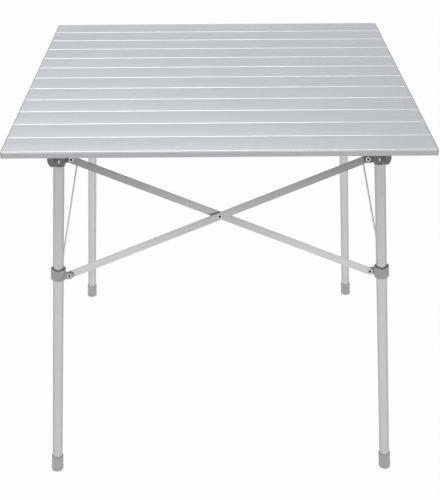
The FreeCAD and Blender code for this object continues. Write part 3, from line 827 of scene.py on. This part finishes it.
def leg_pieces(index):
    """One corner: tube, foot, hub, plug and rivets on the leg; ring and rivets on its slider."""
    corner = CORNERS[index]
    matrix = leg_frame(index)
    body = "leg_frame_" + corner
    make_piece(f"leg_{corner}_tube", [moved(tube(), matrix)], LEG_FINISH, body,
               ["leg_" + corner])
    foot = level_with_floor(foot_cup(), matrix)
    make_piece(f"foot_{corner}_cup", [foot], FOOT_FINISH, body, ["foot_" + corner])
    make_piece(f"hub_{corner}_moulding", hub_shells(matrix), HUB_FINISH, body,
               ["hub_" + corner], remesh=0.6 * MM)
    make_piece(f"hub_{corner}_plug", [moved(boss_disc(), matrix)], HUB_FINISH, body)
    riding, eyes = ear_rivets(HUB_PIN, EAR_SPAN, (-EAR_SPAN[0], -EAR_SPAN[1]))
    riding += cross_pin(index, CROSS_HEAD_RADIUS, CROSS_HEAD_THICK, HUB_HALF, HUB_PIN)
    riding += cross_pin(index, STOP_HEAD_RADIUS, RIVET_HEIGHT, LEG_RADIUS, STOP_STATION)
    make_piece(f"hub_{corner}_rivets", carried(riding, matrix), RIVET_FINISH, body,
               ["hub_rivets_" + corner], eyes=carried(eyes, matrix))
    body = "slider_" + corner
    make_piece(f"collar_{corner}_ring", carried(collar_shells(index), matrix), COLLAR_FINISH, body,
               ["collar_" + corner])
    riding, eyes = ear_rivets(COLLAR_PIN, (-EAR_SPAN[0], -EAR_SPAN[1]), EAR_SPAN)
    make_piece(f"collar_{corner}_rivets", carried(riding, matrix), RIVET_FINISH, body,
               ["collar_rivets_" + corner], eyes=carried(eyes, matrix))


# --- the strips ---

def upper_arm(index, matrix):
    """Distance from the hub pin to the crossing, where the strip passes the middle of its side."""
    across = quarter_turn(index)[:, 0]
    pin, along = matrix[:3, 3], matrix[:3, 0]
    return float(-(pin @ across) / (along @ across))


def strip_pieces(index, strip):
    """A flat strip with round ends, its half rivets at both ends and at the crossing."""
    side = SIDES[index]
    layer = -1 if strip == "inner" else 1
    matrix, length = strip_frame(index, strip)
    low = layer * STRIP_OFFSET - STRIP_THICK / 2
    high = layer * STRIP_OFFSET + STRIP_THICK / 2
    body = f"strip_{side}_{strip}"
    flat = plate(stadium(length, STRIP_HALF, 20), low, high, STRIP_BEVEL)
    make_piece(f"brace_{side}_{strip}_strip", [moved(flat, matrix)], STRIP_FINISH, body,
               [f"brace_{side}_{strip}"])
    middle = upper_arm(index, matrix)
    free_face, free_way = (high, 1.0) if layer < 0 else (low, -1.0)
    outer_face, outer_way = (low, -1.0) if layer < 0 else (high, 1.0)
    shells, eyes = [], []
    for reach, face, way in ((0.0, free_face, free_way), (length, free_face, free_way),
                             (middle, outer_face, outer_way)):
        shells.append(placed(rivet_head(RIVET_RADIUS, RIVET_HEIGHT), [reach, 0, face], [0, 0, way]))
        eyes.append(placed(rivet_eye(RIVET_RADIUS, RIVET_HEIGHT), [reach, 0, face], [0, 0, way]))
    if layer < 0:
        spacer = plate(stadium(0.0, SPACER_RADIUS), high, high + SPACER_THICK, STRIP_BEVEL)
        shells.append(moved(spacer, rigid(np.eye(3), [middle, 0, 0])))
    make_piece(f"brace_{side}_{strip}_rivets", carried(shells, matrix), RIVET_FINISH, body,
               [f"brace_rivets_{side}_{strip}"], eyes=carried(eyes, matrix))


slats_and_caps()
for number in range(len(CORNERS)):
    leg_pieces(number)
for number in range(len(SIDES)):
    for strip_name in ("inner", "outer"):
        strip_pieces(number, strip_name)

cords = frame["nodes"]["elastic_cords"]
cords.data.materials.clear()
cords.data.materials.append(CORD_FINISH)


# --- studio ---

def studio():
    """A pale room: a world that dims with height, a glowing white floor and three round lamps."""
    world = bpy.data.worlds.new("pale_room")
    bpy.context.scene.world = world
    world.use_nodes = True
    nodes, links = world.node_tree.nodes, world.node_tree.links
    background = nodes["Background"]
    background.inputs["Strength"].default_value = 1.0
    parts = nodes.new("ShaderNodeSeparateXYZ")
    links.new(nodes.new("ShaderNodeTexCoord").outputs["Generated"], parts.inputs[0])
    sky = ranged(nodes, links, parts.outputs["Z"], WORLD_LOW, WORLD_HIGH, 0.12, 0.55)
    links.new(sky, background.inputs["Color"])
    floor_mesh = bpy.data.meshes.new("floor")
    reach = FLOOR_REACH
    corners = [(-reach, -reach, 0), (reach, -reach, 0), (reach, reach, 0), (-reach, reach, 0)]
    floor_mesh.from_pydata(corners, [], [(0, 1, 2, 3)])
    floor = bpy.data.objects.new("floor", floor_mesh)
    bpy.context.scene.collection.objects.link(floor)
    material, nodes, links, shader = new_material("floor_paper")
    shader.inputs["Base Color"].default_value = (*grey(0.0), 1.0)
    shader.inputs["Roughness"].default_value = 1.0
    shader.inputs["Specular IOR Level"].default_value = 0.0
    shader.inputs["Emission Color"].default_value = (*grey(1.0), 1.0)
    shader.inputs["Emission Strength"].default_value = FLOOR_GLOW
    floor_mesh.materials.append(material)
    for name, place, size, power in LAMPS:
        lamp = bpy.data.lights.new(name, "AREA")
        lamp.shape = "DISK"
        lamp.size = size
        lamp.energy = power
        holder = bpy.data.objects.new(name, lamp)
        bpy.context.scene.collection.objects.link(holder)
        holder.location = place
        aim = Vector(LAMP_AIM) - holder.location
        holder.rotation_euler = aim.to_track_quat("-Z", "Y").to_euler()
    bpy.context.scene.view_settings.view_transform = "Standard"


def camera():
    """A camera above the front edge that looks down at the top by thirty degrees."""
    level = math.cos(CAMERA_PITCH)
    forward = np.array([math.sin(CAMERA_YAW) * level, math.cos(CAMERA_YAW) * level,
                        -math.sin(CAMERA_PITCH)])
    right = unit(np.cross(forward, UP))
    above = np.cross(right, forward)
    cos_roll, sin_roll = math.cos(CAMERA_ROLL), math.sin(CAMERA_ROLL)
    right, above = cos_roll * right + sin_roll * above, cos_roll * above - sin_roll * right
    data = bpy.data.cameras.new("camera")
    data.lens = CAMERA_LENS
    data.sensor_width = CAMERA_SENSOR
    data.shift_y = CAMERA_SHIFT
    view = bpy.data.objects.new("camera", data)
    bpy.context.scene.collection.objects.link(view)
    matrix = rigid(np.column_stack([right, above, -forward]), CAMERA_PLACE)
    view.matrix_world = Matrix(matrix.tolist())
    bpy.context.scene.camera = view


studio()
camera()
